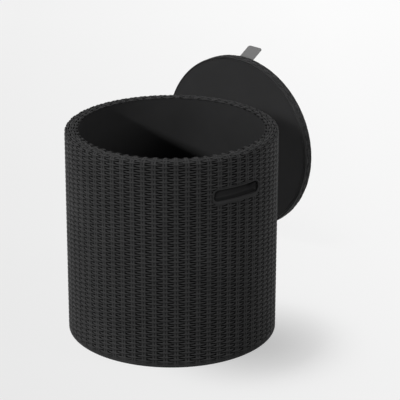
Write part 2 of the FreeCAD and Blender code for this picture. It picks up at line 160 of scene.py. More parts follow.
# Lid, as it lies closed, and where it stands
LID_RADIUS = 201.0
LID_THICKNESS = 25.0
LID_SHOULDER_START = 21.0
LID_SHOULDER_ACROSS = 5.6
LID_SHOULDER_UP = 4.0
LID_PATH_END = 180.0
LID_PATH_ROLL = 1.5
LID_FOOT_RIBS = 2.2
LID_INSIDE = 196.4
LID_CEILING = 20.5
LID_JOINT = 192.0
TABLE_RADIUS = 191.9
TABLE_DISH = 23.5
TABLE_SEGMENTS = 220
LID_COLUMNS = 60
LID_DISTANCE = 558.0
LID_BEARING = 128.0
LID_FACING = 102.2

# Pull tab
TAB_BEARING = 2.1
TAB_TILT = 60.0
TAB_AXIS = (194.0, 26.5)
TAB_HALF_WIDTH = 19.0
TAB_HALF_THICKNESS = 1.2
TAB_LENGTH = 41.0
TAB_CORNER = 5.0
TAB_HELD_FROM = 169.0
TAB_POINT_STEP = 3.0
TAB_BEND_IN = 4.4
TAB_BEND_MIDDLE = 0.3
TAB_BEND_OUT = 3.4
TAB_EDGE_ROUND = 0.5
TAB_EDGE_SHARE = 0.55

# World
WORLD_STRENGTH = 0.05
HORIZON_STRENGTH = 0.9
HORIZON_FULL = 0.15
HORIZON_END = 0.3

# Floor. Painted light: its glow gets a little lighter to the photograph's right and further back.
FLOOR_HALF_SIDE = 14.0
FLOOR_LEVEL = 0.84
FLOOR_WHITE = 0.82
FLOOR_WHITE_UNSEEN = 0.6
FLOOR_LIT = 0.52
FLOOR_SPAN = (-0.5, 0.5)
FLOOR_SIDE_CHANGE = 0.045
FLOOR_DEPTH = (-0.4, 2.4)
FLOOR_DEPTH_CHANGE = 0.1
SHADOWS_NEAR = 1.0
SHADOWS_FAR = 0.05
SHADOW_PLACE = (0.17, -0.1, 0.0)
SHADOW_REACH = 0.255

# Materials
MOTTLING = 14.0
SCUFFS = MOTTLING * 5.0
SCUFFS_START = 0.62
SCUFFS_FULL = 0.8
SCUFFED = 1.7
UNEVEN_SHEEN = 0.08
GRAIN_HEIGHT = 0.0006
GRAIN_STRETCH = (0.12, 1.0, 1.0)
# Painted shade: where the weave's shade starts to darken its colour, and where it is full
PAINTED_SHADE_START = 0.08
PAINTED_SHADE_FULL = 0.85
# Painted highlight along the pockets' bottom: fully lighter below the first height, none above the
# second
PAINTED_LIP_LOW = 0.337
PAINTED_LIP_HIGH = 0.346
PAINTED_LIP_LIGHT = 1.2
BEADS = 260.0
BEAD_BUMP = 0.5
BEAD_HEIGHT = 0.001
GRAPHITE = (0.038, 0.038, 0.0385)
SMOOTH_GRAPHITE = (0.032, 0.032, 0.0325)
TUB_GRAPHITE = (0.026, 0.026, 0.0265)
# Pockets' resin: dark resin, darkened further as painted shade inside the pockets
CUP_GRAPHITE_PAINTED_SHADE = (0.01, 0.01, 0.0102)
LID_GRAPHITE = (0.0265, 0.0265, 0.027)
BASE_GRAPHITE = (0.03, 0.03, 0.031)

# Lamps: direction to the photograph's right, up and front, height aimed at, distance,
# size and power
LAMPS = (
    ("key", (-0.694, 0.355, 0.604), 0.3, 3.2, (0.2, 0.2), 73.0),
    ("front_key", (-0.143, 0.4, 0.906), 0.3, 3.2, (0.2, 0.2), 80.0),
    ("left", (-0.98, 0.3, 0.0), 0.25, 2.8, (1.0, 1.0), 5.5),
    ("right", (0.85, 0.4, 0.344), 0.25, 2.8, (0.9, 1.2), 28.0),
    ("top", (-0.24, 0.96, -0.14), 0.3, 2.6, (0.7, 0.7), 34.0),
    ("back", (0.17, 0.35, -0.92), 0.25, 2.8, (1.0, 1.0), 14.0))


def new_object(name, data):
    made = bpy.data.objects.new(name, data)
    bpy.context.scene.collection.objects.link(made)
    return made


# Camera and light

def place_camera():
    """Camera as fitted to the photograph, turned with the drum's grips on the X axis."""
    height = math.radians(ELEVATION)
    roll = math.radians(ROLL)
    place = Vector((0.0, -DISTANCE * math.cos(height), AIM_HEIGHT + DISTANCE * math.sin(height)))
    ahead = (Vector((0.0, 0.0, AIM_HEIGHT)) - place).normalized()
    right = ahead.cross(Vector((0.0, 0.0, 1.0))).normalized()
    up = right.cross(ahead)
    yawed = math.tan(math.radians(YAW)) * right
    pitched = math.tan(math.radians(PITCH)) * up
    ahead = (ahead + yawed + pitched).normalized()
    right = ahead.cross(up).normalized()
    up = right.cross(ahead)
    rolled_right = math.cos(roll) * right + math.sin(roll) * up
    rolled_up = -math.sin(roll) * right + math.cos(roll) * up
    basis = Matrix((rolled_right, rolled_up, -ahead)).transposed().to_4x4()
    data = bpy.data.cameras.new("camera")
    data.sensor_width = SENSOR
    data.lens = LENS
    data.clip_end = VIEW_REACH
    camera = new_object("camera", data)
    raised = Matrix.Translation((0.0, 0.0, CAMERA_RAISED))
    turn = Matrix.Rotation(math.radians(PHOTO_SIDE), 4, "Z")
    camera.matrix_world = raised @ turn @ Matrix.Translation(place) @ basis
    bpy.context.scene.camera = camera


def towards(right, up, front):
    """Direction told from the photograph's side: to its right, up, and to its front."""
    turn = Matrix.Rotation(math.radians(PHOTO_SIDE), 3, "Z")
    return (turn @ Vector((right, -front, up))).normalized()


def area_light(name, direction, aim, distance, size, power):
    data = bpy.data.lights.new(name, "AREA")
    data.shape = "RECTANGLE"
    data.size, data.size_y = size
    data.energy = power
    light = new_object(name, data)
    light.location = Vector(aim) + direction * distance
    light.rotation_euler = direction.to_track_quat("Z", "Y").to_euler()
    return light


def aim_light(light, pieces, state):
    """Let a light shine on the given pieces only, or on everything but them."""
    chosen = bpy.data.collections.new("lit_by_" + light.name)
    for piece in pieces:
        chosen.objects.link(piece)
    for entry in chosen.collection_objects:
        entry.light_linking.link_state = state
    light.light_linking.receiver_collection = chosen


def plain_world():
    """Faint even light, and a pale band over the floor's end that lights nothing."""
    world = bpy.data.worlds.new("studio")
    world.use_nodes = True
    tree = world.node_tree
    background = tree.nodes["Background"]
    background.inputs["Color"].default_value = (1.0, 1.0, 1.0, 1.0)
    height = axes_of(tree, texture_place(tree, "Generated"))["Z"]
    band = map_range(tree, height, HORIZON_FULL, HORIZON_END,
                     HORIZON_STRENGTH - WORLD_STRENGTH, 0.0, smooth=True)
    shown = calculated(tree, "MULTIPLY_ADD", band, rays_that_see(tree), WORLD_STRENGTH)
    join(tree, shown, background.inputs["Strength"])
    bpy.context.scene.world = world


# Meshes

def add_piece(name, mesh, body):
    piece = new_object(name, mesh)
    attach(piece, body)
    return piece


def sheet_mesh(name, x, y, z, keep=None, painted_shade=None, lay=None, wrap=True):
    """Quads through arrays of points in mm: one row per level, one column round the axis.

    Only the quads that keep names are made. The painted shade and the lay become attributes
    of the points. A sheet that wraps also has quads from its last column to its first.
    """
    rows, columns = x.shape
    index = np.arange(rows * columns).reshape(rows, columns)
    after = np.roll(index, -1, axis=1)
    quads = np.stack([index[:-1], after[:-1], after[1:], index[1:]], axis=-1)
    if not wrap:
        quads = quads[:, :-1]
    if keep is not None:
        quads = quads[keep]
    quads = quads.reshape(-1, 4)
    used = np.unique(quads)
    renumber = np.zeros(rows * columns, int)
    renumber[used] = np.arange(len(used))
    quads = renumber[quads]
    points = np.stack([x, y, z], axis=-1).reshape(-1, 3)[used] * MM
    mesh = bpy.data.meshes.new(name)
    mesh.vertices.add(len(points))
    mesh.vertices.foreach_set("co", points.astype(np.float32).ravel())
    mesh.loops.add(quads.size)
    mesh.loops.foreach_set("vertex_index", quads.astype(np.int32).ravel())
    mesh.polygons.add(len(quads))
    mesh.polygons.foreach_set("loop_start", np.arange(0, quads.size, 4, dtype=np.int32))
    mesh.polygons.foreach_set("use_smooth", np.ones(len(quads), bool))
    mesh.update()
    if painted_shade is not None:
        # The painted shade is kept in the attribute named depth.
        layer = mesh.attributes.new("depth", "FLOAT", "POINT")
        layer.data.foreach_set("value", painted_shade.reshape(-1)[used].astype(np.float32))
    if lay is not None:
        layer = mesh.attributes.new("lay", "FLOAT_VECTOR", "POINT")
        lay = lay.reshape(-1, 3)[used] * MM
        layer.data.foreach_set("vector", lay.astype(np.float32).ravel())
    mesh.validate()
    return mesh


def add_caps(mesh, rings):
    """Close each ring of points with one face."""
    work = bmesh.new()
    work.from_mesh(mesh)
    work.verts.ensure_lookup_table()
    for one in rings:
        work.faces.new([work.verts[k] for k in one])
    bmesh.ops.recalc_face_normals(work, faces=work.faces)
    work.to_mesh(mesh)
    work.free()
    mesh.update()


def add_thickness(mesh, thickness):
    """Give an open sheet on the +X side a back, nearer to the axis, and close its edges."""
    work = bmesh.new()
    work.from_mesh(mesh)
    border = [edge for edge in work.edges if edge.is_boundary]
    copied = bmesh.ops.duplicate(work, geom=work.verts[:] + work.edges[:] + work.faces[:])
    back = [one for one in copied["geom"] if isinstance(one, bmesh.types.BMVert)]
    bmesh.ops.translate(work, verts=back, vec=(-thickness * MM, 0.0, 0.0))
    twins = copied["vert_map"]
    for edge in border:
        a, b = edge.verts
        work.faces.new((a, b, twins[b], twins[a]))
    bmesh.ops.recalc_face_normals(work, faces=work.faces[:])
    for face in work.faces:
        face.smooth = True
    work.to_mesh(mesh)
    work.free()
    mesh.update()


def turned_mesh(name, outline, segments, gap):
    """Surface turned round the Z axis through pairs of radius and height.

    No faces follow the point that the gap names, and the rings on both sides of it
    are closed with a cap.
    """
    outline = np.array(outline, float)
    angle = np.arange(segments) * 2 * math.pi / segments
    radius = np.repeat(outline[:, :1], segments, axis=1)
    height = np.repeat(outline[:, 1:], segments, axis=1)
    keep = np.ones((len(outline) - 1, segments), bool)
    keep[gap] = False
    mesh = sheet_mesh(name, radius * np.cos(angle), radius * np.sin(angle), height, keep=keep)
    add_caps(mesh, [[ring * segments + k for k in range(segments)] for ring in (gap, gap + 1)])
    return mesh


# Moulded wickerwork: strands over one pair of ribs and under the next

def across_cells(columns):
    """Place of each point of a row in its cell, and the distance to the nearest pair of ribs."""
    place = np.tile(ACROSS, columns)
    return place, np.minimum(place, CELL - place)


def rib_drop(distance):
    """Depth of a pair of ribs below the crest, against the distance from its middle."""
    places = [0.0, 1.2, 2.6, 4.6, 6.0, 9.0]
    drops = [1.7, 1.05, 0.6, 1.4, 3.0, GAP_DROP]
    return np.interp(distance, places, drops)


def strand_drop(distance):
    """Depth of a strand along its way from the pair that it passes over."""
    places = [0.0, 1.2, 4.6, 6.0, 9.0, 12.3, 15.3, 16.7, CELL]
    drops = [0.1, 0.0, 0.0, 0.05, 0.3, 1.0, 2.3, 3.0, GAP_DROP]
    return np.interp(distance, places, drops)


def strand_half_width(distance):
    places = [0.0, 4.6, 6.0, 9.0, 12.3, 15.3, 16.7, CELL]
    halves = [1.6, 1.55, 1.4, 1.2, 0.88, 0.62, 0.5, 0.4]
    return np.interp(distance, places, halves)


def weave_rows(first, strands, columns):
    """Levels up the wall, depths below the crest and painted shade for the weave's lines.

    Each strand has its lower and its upper edge, and the gap above it the two edges
    of its floor. The shading is painted shade: 0 on the strands and 1 in the gaps.
    """
    place, beside = across_cells(columns)
    column = np.repeat(np.arange(columns), len(ACROSS))
    there = CELL - place
    ribs = rib_drop(beside)
    rib_shading = np.clip((ribs - RIB_SHADE_START) / RIB_SHADE_SPAN, 0.0, 1.0)
    bottom = np.full(len(place), GAP_DROP)
    dark = np.ones(len(place))
    levels = []
    depths = []
    shading = []
    for strand in range(strands):
        middle = first + strand * HALF_STEP
        rooted_here = (column + strand) % 2 == 1
        far = np.where(rooted_here, place, there)
        next_far = np.where(rooted_here, there, place)
        width = strand_half_width(far)
        gap_end = middle + HALF_STEP - strand_half_width(next_far)
        crest = strand_drop(far)
        for level, depth, shade in (
                (middle - width, crest + EDGE_DROP, STRAND_SHADE * crest),
                (middle + width, crest + EDGE_DROP, STRAND_SHADE * crest),
                (middle + width + GAP_FLANK, bottom, dark),
                (gap_end - GAP_FLANK, bottom, dark)):
            levels.append(level)
            depths.append(np.minimum(depth, ribs))
            shading.append(np.where(ribs < depth, rib_shading, shade))
    return np.array(levels), np.array(depths), np.array(shading)


def crest_path(radius, start, across, up, inner, roll):
    """Line of the weave's crests: up the wall, over the shoulder, in, and down.

    Returns the lengths along the line, which are 0 at the floor, and a table of radius,
    height and outward direction.
    """
    top = start + up
    steps = [(radius, -PATH_BELOW, 1.0, 0.0), (radius, start, 1.0, 0.0)]
    for turn in np.radians(SHOULDER_TURNS):
        out = np.array([math.cos(turn) / across, math.sin(turn) / up])
        out /= np.hypot(*out)
        steps.append((radius - across + across * math.cos(turn), start + up * math.sin(turn), *out))
    steps.append((inner + roll, top, 0.0, 1.0))
    for turn in np.radians(ROLL_TURNS):
        steps.append((inner + roll + roll * math.cos(turn), top - roll + roll * math.sin(turn),
                      math.cos(turn), math.sin(turn)))
    steps.append((inner, top - 4 * roll, -1.0, 0.0))
    steps = np.array(steps)
    return run_along(steps[:, :2]) - PATH_BELOW, steps


def run_along(points):
    """Length of the way from the first point to each."""
    return np.concatenate([[0.0], np.cumsum(np.hypot(*np.diff(points, axis=0).T))])


def on_path(path, level, depth):
    """Radius and height of points at a level along the path and a depth below it."""
    length, steps = path
    radius, height, out, rise = (np.interp(level, length, steps[:, k]) for k in range(4))
    size = np.hypot(out, rise)
    return radius - depth * out / size, height - depth * rise / size


def level_on_top(path, radius):
    """Level along the path where its flat top, run on inwards, has a radius."""
    length, steps = path
    return length[TOP_END] + (steps[TOP_END, 0] - radius)


def angles(columns):
    place = np.tile(ACROSS / CELL, columns) + np.repeat(np.arange(columns), len(ACROSS))
    return place * 2 * math.pi / columns


def plain_rows(count, *places):
    """Rows of one radius and height each, and of one painted shade where a third number tells it.
    """
    rows = []
    for radius, height, *shade in places:
        shade = shade[0] if shade else PLAIN_SHADE
        rows.append((np.full(count, radius), np.full(count, height), np.full(count, shade)))
    return rows


def sunk_rows(crest, *places):
    """Rows a depth below the crest, from pairs of depth and height, with more painted shade deeper.
    """
    return [(crest - drop, np.full(len(drop), height), drop / GAP_DROP) for drop, height in places]


def stack_rows(rows):
    return tuple(np.array(part) for part in zip(*rows))


def woven_piece(name, rows, turn, body, keep=None, place=None):
    radius, height, painted_shade = stack_rows(rows)
    along = np.cumsum(np.hypot(np.diff(radius, axis=0, prepend=radius[:1]),
                               np.diff(height, axis=0, prepend=height[:1])), axis=0)
    lay = np.stack([turn * radius.max() + 0 * radius, along, 0 * radius], axis=-1)
    mesh = sheet_mesh(name, radius * np.cos(turn), radius * np.sin(turn), height,
                      keep=keep, painted_shade=painted_shade, lay=lay)
    if place is not None:
        mesh.transform(place)
    return add_piece(name, mesh, body)


# Drum

def mouth_dip():
    """How far the mouth's edge lies below its top: low between the stakes.

    Every other stake ends in a broad hump, and the ones between in two narrow nubs.
    """
    place, beside = across_cells(COLUMNS)
    stake = np.repeat(np.arange(COLUMNS), len(ACROSS)) + (place > CELL / 2)
    places = [0.0, 1.2, 2.6, 4.6, 6.0, 9.0]
    broad = np.interp(beside, places, [0.0, 0.0, 0.1, 0.5, 1.1, 1.9])
    nubs = np.interp(beside, places, [0.5, 0.0, 0.4, 1.5, 1.8, 1.9])
    return np.where(stake % 2 == 0, broad, nubs)


def drum_rows():
    """Rows of the drum's wall and of its rim ring, each from its inside round to its inside.

    Over the shoulder the weave gets shallower, with a knob on each pair of ribs, and
    near the mouth it follows the edge's waves.
    """
    turn = angles(COLUMNS)
    count = len(turn)
    path = crest_path(CREST_RADIUS, SHOULDER_START, SHOULDER_ACROSS, SHOULDER_UP,
                      MOUTH_RADIUS, MOUTH_ROLL)
    ring_start = level_on_top(path, RING_RADIUS)
    mouth = level_on_top(path, MOUTH_RADIUS)
    levels, depths, shading = weave_rows(DRUM_FIRST_STRAND, DRUM_STRANDS, COLUMNS)
    beside = across_cells(COLUMNS)[1]
    calm = np.interp(levels, [419.0, 425.0, 429.0], [1.0, 0.9, 0.62])
    knobs = np.interp(levels, [413.0, 419.0, 425.0, 430.0], [0.0, 1.0, 1.0, 0.0])
    knobs = SHOULDER_KNOBS * knobs * (beside < PAIR_EDGE)
    depths = np.minimum(depths * calm + knobs, GAP_DROP)
    dip = mouth_dip()
    near_mouth = np.interp(levels, [mouth - MOUTH_BAND[0], mouth - MOUTH_BAND[1]], [0.0, 1.0])
    waved = np.minimum(depths + near_mouth * dip, MOUTH_DEPTH)
    depths = np.where(near_mouth > 0.0, waved, depths)

    ribs = np.minimum(rib_drop(beside), FOOT_RIBS)
    border = np.minimum(ribs, FOOT_BORDER)
    wall = plain_rows(
        count, (WALL_INSIDE, WALL_SEAM), (WALL_INSIDE, 2.3), (WALL_INSIDE + 0.3, 2.0),
        (209.2, 2.0), (209.6, 2.4), (209.6, 6.7), (209.3, 7.0))
    wall += sunk_rows(CREST_RADIUS, (ribs, 7.9), (border, 8.7), (border, 9.9), (ribs * 1.3, 10.6))
    ring = plain_rows(count, (RING_RADIUS, RING_LOW), (RING_RADIUS, DRUM_TOP - 0.15))
    for level, depth, shade in zip(levels, depths, shading):
        row = (*on_path(path, level, depth), shade)
        if level.max() < ring_start - RING_SEAM:
            wall.append(row)
        elif level.min() > ring_start and level.max() < mouth - WEAVE_STOP:
            ring.append(row)
    edge = RING_RADIUS + RING_SEAM
    # The row under the rim ring's outer edge takes full painted shade.
    wall += plain_rows(
        count, (edge, DRUM_TOP - 0.15), (edge, RING_LOW, 1.0), (LEDGE_RADIUS, RING_LOW),
        (LEDGE_RADIUS, LEDGE_LOW), (WALL_INSIDE, LEDGE_LOW), (WALL_INSIDE, 366.0),
        (WALL_INSIDE, 361.5), (WALL_INSIDE, GRIP_HEIGHT), (WALL_INSIDE, 334.5),
        (WALL_INSIDE, 330.0), (WALL_INSIDE, WALL_SEAM))
    # Painted shade in the mouth edge's dips, more where it dips deeper
    shade = PLAIN_SHADE + MOUTH_SHADE * dip
    ring += plain_rows(
        count, (MOUTH_RADIUS + 2.4, DRUM_TOP - 0.3 - dip, shade),
        (MOUTH_RADIUS + 1.2, DRUM_TOP - 0.2 - dip, shade),
        (MOUTH_RADIUS + 0.3, DRUM_TOP - 0.4 - 0.9 * dip, shade),
        (MOUTH_RADIUS, DRUM_TOP - 1.2 - 0.5 * dip, shade), (MOUTH_RADIUS, RING_LOW),
        (RING_RIB_INSIDE, RING_LOW), (RING_RIB_INSIDE, RING_RIB_LOW),
        (RING_RIB_OUTSIDE, RING_RIB_LOW), (RING_RIB_OUTSIDE, RING_LOW), (RING_RADIUS, RING_LOW))
    return turn, wall, ring


def grip_distance(y, z):
    """How far a point of the wall lies outside a grip's opening, less than 0 inside."""
    over_y = np.abs(y) - (GRIP_HALF_LENGTH - GRIP_CORNER)
    over_z = np.abs(z - GRIP_HEIGHT) - (GRIP_HALF_HEIGHT - GRIP_CORNER)
    outside = np.hypot(np.maximum(over_y, 0), np.maximum(over_z, 0))
    beyond = outside + np.minimum(np.maximum(over_y, over_z), 0) - GRIP_CORNER
    below = np.where(z < GRIP_HEIGHT, np.maximum(over_z, 0) / np.maximum(outside, 0.01), 0.0)
    return beyond / (1.0 + GRIP_LIP * below)


def quad_means(values):
    """Mean over the corners of each quad of a sheet that wraps round the axis."""
    beside = np.roll(values, -1, axis=1)
    return (values[:-1] + values[1:] + beside[:-1] + beside[1:]) / 4


def drum_weave():
    """The wall, sunk under the grips' frames and cut out inside them, and the rim ring."""
    turn, wall, ring = drum_rows()
    radius, height, painted_shade = stack_rows(wall)
    beyond = grip_distance(radius * np.sin(turn), height)
    framed = (beyond < FRAMED_BEYOND) & (height > FRAMED_ABOVE)
    sunk = (radius > WEAVE_OUTSIDE) & framed
    radius = np.where(sunk, np.minimum(radius, WEAVE_SUNK), radius)
    rows = list(zip(radius, height, painted_shade))
    piece = woven_piece("drum_weave", rows, turn, "drum",
                        keep=quad_means(beyond) > GRIP_CUT)
    close_cuts(piece.data)
    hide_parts("outer_shell")
    rim = woven_piece("rim_weave", ring, turn, "drum")
    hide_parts("rim_ring")
    return piece, rim


def close_cuts(mesh):
    """Join the wall's first row to its last, and its outside to its inside round each grip."""
    work = bmesh.new()
    work.from_mesh(mesh)
    seam = [vert for vert in work.verts if vert.is_boundary and vert.co.z < CUT_ABOVE]
    bmesh.ops.remove_doubles(work, verts=seam, dist=WELD)
    cut = [edge for edge in work.edges if edge.is_boundary and edge.verts[0].co.z > CUT_ABOVE]
    for sign in (1, -1):
        bmesh.ops.bridge_loops(work, edges=[edge for edge in cut if sign * edge.verts[0].co.x > 0])
    work.to_mesh(mesh)
    work.free()
    mesh.update()


def half_turn(mesh):
    """Carry a mesh from the right grip to the left one."""
    mesh.transform(Matrix.Rotation(math.pi, 4, "Z"))


def grip_frame(side):
    """Smooth frame that lines a grip's opening and stops the weave round it."""
    corner_y = GRIP_HALF_LENGTH - GRIP_CORNER
    corner_z = GRIP_HALF_HEIGHT - GRIP_CORNER
    corners = ((1, 1), (-1, 1), (-1, -1), (1, -1))
    centres = []
    for quarter, (sign_y, sign_z) in enumerate(corners):
        for turn in np.linspace(quarter * 90.0, quarter * 90.0 + 90.0, 9):
            centres.append((sign_y * corner_y, sign_z * corner_z, turn))
        following = corners[(quarter + 1) % 4]
        runs = 26 if quarter % 2 == 0 else 3
        for share in np.arange(1, runs) / runs:
            centres.append((
                (sign_y + (following[0] - sign_y) * share) * corner_y,
                (sign_z + (following[1] - sign_z) * share) * corner_z,
                quarter * 90.0 + 90.0))
    centres = np.array(centres)
    aim = np.radians(centres[:, 2])
    wider = 1.0 + GRIP_LIP * np.maximum(0.0, -np.sin(aim))
    section = [(GRIP_FRAME, 205.8), (GRIP_FRAME, 209.0), (3.45, 209.35), (3.1, FRAME_FACE),
               (FRAME_ROUND, FRAME_FACE)]
    for turn in np.radians(np.arange(15.0, 90.1, 15.0)):
        section.append((FRAME_ROUND - FRAME_ROUND * math.sin(turn),
                        FRAME_ROUND_FROM + FRAME_ROUND * math.cos(turn)))
    section += [(0.0, FRAME_BACK), (2.0, FRAME_BACK), (GRIP_FRAME, 205.8)]
    x, y, z = [], [], []
    for away, radius in section:
        across = centres[:, 0] + (GRIP_CORNER + away * wider) * np.cos(aim)
        x.append(np.sqrt(radius ** 2 - across ** 2))
        y.append(across)
        z.append(GRIP_HEIGHT + centres[:, 1] + (GRIP_CORNER + away * wider) * np.sin(aim))
    mesh = sheet_mesh("grip_frame_" + side, np.array(x), np.array(y), np.array(z))
    if side == "left":
        half_turn(mesh)
    mesh.flip_normals()
    return add_piece("grip_frame_" + side, mesh, "drum")


def eased(first, last, count):
    """Shares that crowd together near 0."""
    return np.linspace(first, last, count) ** SCOOP_EASE


def grip_scoop(side):
    """Pocket behind a grip: a smooth scoop that is taller than the opening."""
    across = np.concatenate([-SCOOP_HALF_LENGTH + SCOOP_END * eased(0.0, 1.0, 15),
                             np.linspace(-33.0, 33.0, 23),
                             SCOOP_HALF_LENGTH - SCOOP_END * eased(1.0, 0.0, 15)])
    up = np.concatenate([SCOOP_LOW + 4.0 * eased(0.0, 1.0, 9),
                         np.linspace(SCOOP_LOW + 5.5, SCOOP_HIGH - 6.0, 9),
                         SCOOP_HIGH - 5.0 * eased(1.0, 0.0, 7)])
    y, z = np.meshgrid(across, up)
    depth = SCOOP_RIM - SCOOP_BACK
    for share in ((SCOOP_HALF_LENGTH - np.abs(y)) / SCOOP_ROUND_ENDS,
                  (z - SCOOP_LOW) / SCOOP_ROUND_LOW, (SCOOP_HIGH - z) / SCOOP_ROUND_HIGH):
        share = np.clip(share, 0.0, 1.0)
        depth = depth * np.sqrt(1.0 - (1.0 - share) ** 2)
    front = np.sqrt((SCOOP_RIM - depth) ** 2 - y ** 2)
    mesh = sheet_mesh("grip_scoop_" + side, front, y, z, wrap=False)
    add_thickness(mesh, SCOOP_WALL)
    if side == "left":
        half_turn(mesh)
    piece = add_piece("grip_scoop_" + side, mesh, "drum")
    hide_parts("handle_cup_" + side)
    return piece


# Lid

def lid_place():
    """From the lid as it lies closed to the lid that stands behind the drum."""
    facing = math.radians(LID_FACING)
    out = Vector((math.cos(facing), math.sin(facing), 0.0))
    up = Vector((0.0, 0.0, 1.0))
    turn = Matrix((up, out.cross(up), out)).transposed().to_4x4()
    bearing = math.radians(LID_BEARING)
    spot = Vector((LID_DISTANCE * math.cos(bearing), LID_DISTANCE * math.sin(bearing), LID_RADIUS))
    return Matrix.Translation(spot * MM) @ turn


def lid_weave():
    """Edge of the lid, with the strands low all round and a plain border at each side."""
    turn = angles(LID_COLUMNS)
    count = len(turn)
    path = crest_path(LID_RADIUS, LID_SHOULDER_START, LID_SHOULDER_ACROSS, LID_SHOULDER_UP,
                      LID_PATH_END, LID_PATH_ROLL)
    levels, depths, shading = weave_rows(LID_FIRST_STRAND, LID_STRANDS, LID_COLUMNS)
    depths = depths * np.interp(levels, [14.0, 19.0, 30.0], [0.55, 0.3, 0.2])
    rows = plain_rows(
        count, (LID_INSIDE, LID_CEILING), (LID_INSIDE, 0.6), (197.0, 0.0), (199.1, 0.0),
        (200.0, 0.3), (200.5, 0.9), (200.6, 1.6), (200.6, 2.8), (200.3, 3.1))
    ribs = np.minimum(rib_drop(across_cells(LID_COLUMNS)[1]), LID_FOOT_RIBS)
    rows += sunk_rows(LID_RADIUS, (ribs, 3.7))
    for level, depth, shade in zip(levels, depths, shading):
        rows.append((*on_path(path, level, depth), shade))
    rows += plain_rows(
        count, (195.5, LID_THICKNESS - 0.9, 0.6), (194.8, LID_THICKNESS - 0.3),
        (194.0, LID_THICKNESS), (LID_JOINT, LID_THICKNESS), (LID_JOINT, LID_CEILING),
        (LID_INSIDE, LID_CEILING))
    piece = woven_piece("lid_weave", rows, turn, "lid", place=lid_place())
    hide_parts("lid_top")
    return piece


def lid_table():
    """Smooth top of the lid with its shallow dish, and its ceiling inside."""
    outline = [
        (TABLE_RADIUS, LID_THICKNESS), (TABLE_RADIUS, LID_CEILING), (120.0, LID_CEILING),
        (30.0, LID_CEILING), (2.0, LID_CEILING),
        (2.0, TABLE_DISH), (30.0, TABLE_DISH), (120.0, TABLE_DISH), (166.5, TABLE_DISH),
        (168.0, 23.55), (169.2, 24.0), (170.4, 24.7), (171.5, 24.97), (173.0, LID_THICKNESS),
        (182.0, LID_THICKNESS), (TABLE_RADIUS, LID_THICKNESS)]
    mesh = turned_mesh("lid_table", outline, TABLE_SEGMENTS, gap=4)
    mesh.transform(lid_place())
    piece = add_piece("lid_table", mesh, "lid")
    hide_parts("lid_top")
    return piece


# Pull tab

def tab_line():
    """Radius, height and tilt along the strip's middle, from under the clamp to the tip."""
    axis_radius, axis_height = TAB_AXIS
    tilt = math.radians(TAB_TILT)
    flat_height = LID_THICKNESS + TAB_HALF_THICKNESS
    points = [(TAB_HELD_FROM + TAB_POINT_STEP * k, flat_height, 0.0) for k in range(7)]
    start = (axis_radius - TAB_BEND_IN, flat_height)
    control = (axis_radius - TAB_BEND_MIDDLE, flat_height)
    end = (axis_radius + TAB_BEND_OUT * math.cos(tilt), axis_height + TAB_BEND_OUT * math.sin(tilt))
    for share in np.linspace(0.0, 1.0, 9):
        radius, height = ((1 - share) ** 2 * a + 2 * share * (1 - share) * b + share ** 2 * c
                          for a, b, c in zip(start, control, end))
        points.append((radius, height, share * tilt))
    for length in [*np.arange(6.0, 33.0, TAB_POINT_STEP), 34.5, 36.0, 37.2, 38.4, 39.4, 40.2, 40.7,
                   TAB_LENGTH]:
        points.append((axis_radius + length * math.cos(tilt),
                       axis_height + length * math.sin(tilt), tilt))
    return np.array(points)


def pull_strip():
    """The tab's one strip, with rounded corners and edges, blended across its bend."""
    line = tab_line()
    run = run_along(line[:, :2])
    left = run[-1] - run
    over = np.clip(TAB_CORNER - left, 0.0, TAB_CORNER)
    half = TAB_HALF_WIDTH - TAB_CORNER + np.sqrt(np.maximum(TAB_CORNER ** 2 - over ** 2, 0.0))
    shares = np.linspace(-1.0, 1.0, 11)
    level = np.full(11, 1.0)
    rounded = np.full(11, TAB_EDGE_ROUND)
    ring_across = np.concatenate([shares, [1.0, 1.0], shares[::-1], [-1.0, -1.0]])
    inset = np.concatenate([rounded, [0.0, 0.0], rounded, [0.0, 0.0]])
    ring_up = TAB_HALF_THICKNESS * np.concatenate([
        level, [TAB_EDGE_SHARE, -TAB_EDGE_SHARE], -level, [-TAB_EDGE_SHARE, TAB_EDGE_SHARE]])
    across = ring_across[None, :] * (half[:, None] - inset[None, :])
    tilt = line[:, 2][:, None]
    radius = line[:, 0][:, None] - ring_up[None, :] * np.sin(tilt)
    height = line[:, 1][:, None] + ring_up[None, :] * np.cos(tilt)
    mesh = sheet_mesh("pull_strip", radius, across, height)
    count = len(ring_across)
    last = (len(line) - 1) * count
    add_caps(mesh, [list(range(count))[::-1], [last + k for k in range(count)]])
    turn = Matrix.Rotation(math.radians(TAB_BEARING), 4, "Z")
    mesh.transform(turn)
    mesh.transform(lid_place())
    piece = new_object("pull_strip", mesh)
    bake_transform(piece)
    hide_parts("tab_root", "pull_tab")
    return piece


# Nodes of materials

def join(tree, source, socket):
    """Link an output to an input, or set the input to a plain value."""
    if isinstance(source, bpy.types.NodeSocket):
        tree.links.new(source, socket)
    else:
        socket.default_value = source


def node(tree, kind, **values):
    """New node. A value that isn't one of its inputs is set as a property."""
    made = tree.nodes.new(kind)
    for key, value in values.items():
        if key in made.inputs:
            join(tree, value, made.inputs[key])
        else:
            setattr(made, key, value)
    return made


def texture_place(tree, kind="Object"):
    return tree.nodes.new("ShaderNodeTexCoord").outputs[kind]


def axes_of(tree, vector):
    split = tree.nodes.new("ShaderNodeSeparateXYZ")
    join(tree, vector, split.inputs[0])
    return split.outputs


def map_range(tree, source, from_low, from_high, to_low, to_high, smooth=False):
    kind = "SMOOTHSTEP" if smooth else "LINEAR"
    made = node(tree, "ShaderNodeMapRange", interpolation_type=kind, Value=source)
    for name, value in (("From Min", from_low), ("From Max", from_high), ("To Min", to_low),
                        ("To Max", to_high)):
        made.inputs[name].default_value = value
    return made.outputs["Result"]


